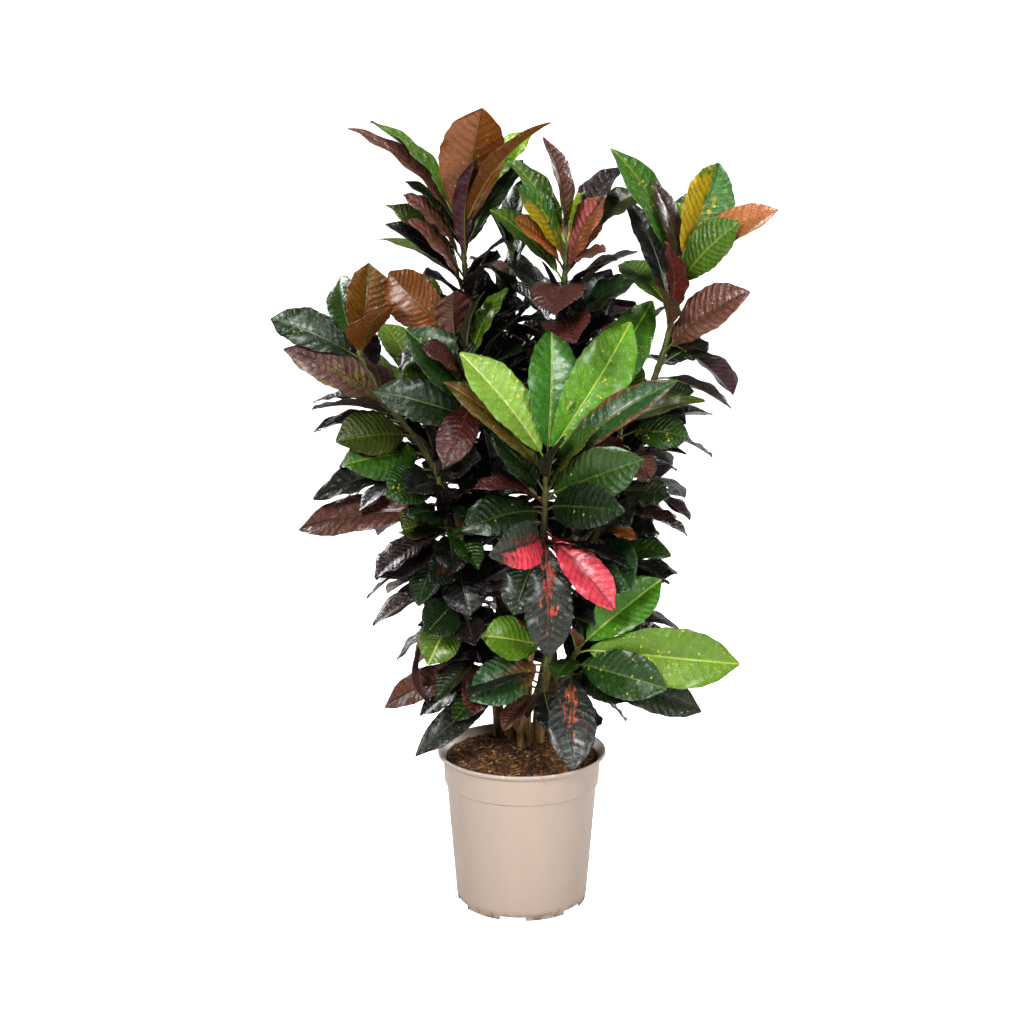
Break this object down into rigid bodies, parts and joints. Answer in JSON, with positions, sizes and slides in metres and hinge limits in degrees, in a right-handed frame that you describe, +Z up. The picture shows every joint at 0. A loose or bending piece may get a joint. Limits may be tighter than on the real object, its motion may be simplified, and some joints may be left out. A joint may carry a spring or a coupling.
{
  "type": "potted croton",
  "caption": "Croton houseplant with several woody canes and broad glossy many-coloured leaves, rooted in peat in a round tapered nursery pot.",
  "frame": {"origin": "on the pot's axis, at the surface that the pot's foot stands on", "axes": "+Z up along the pot's axis; -Y towards the side shown in the picture; +X to the right of that view"},
  "size_m": [0.6802, 0.4511, 1.1104],
  "materials": {
    "pot": "satin moulded plastic",
    "soil": "coarse damp peat with bark fibres",
    "cane": "rough grey-brown bark with leaf scars",
    "leaf": "glossy waxy leaf, from green to bronze, mauve, near black and pink"
  },
  "bodies": {
    "root": {"pot": "pot", "soil": "soil", "cane_1": "cane", "cane_2": "cane", "cane_3": "cane", "cane_4": "cane", "cane_5": "cane", "shoot_crown": "leaf", "shoot_middle": "leaf", "shoot_right": "leaf", "shoot_left": "leaf", "shoot_inner": "leaf", "shoot_front": "leaf", "shoot_low_left": "leaf", "shoot_low_right": "leaf", "shoot_bottom_left": "leaf", "shoot_bottom_front": "leaf", "shoot_side_right": "leaf", "rear_top": "leaf", "rear_left": "leaf", "rear_right": "leaf", "rear_low": "leaf", "rear_low_right": "leaf"}
  },
  "joints": []
}
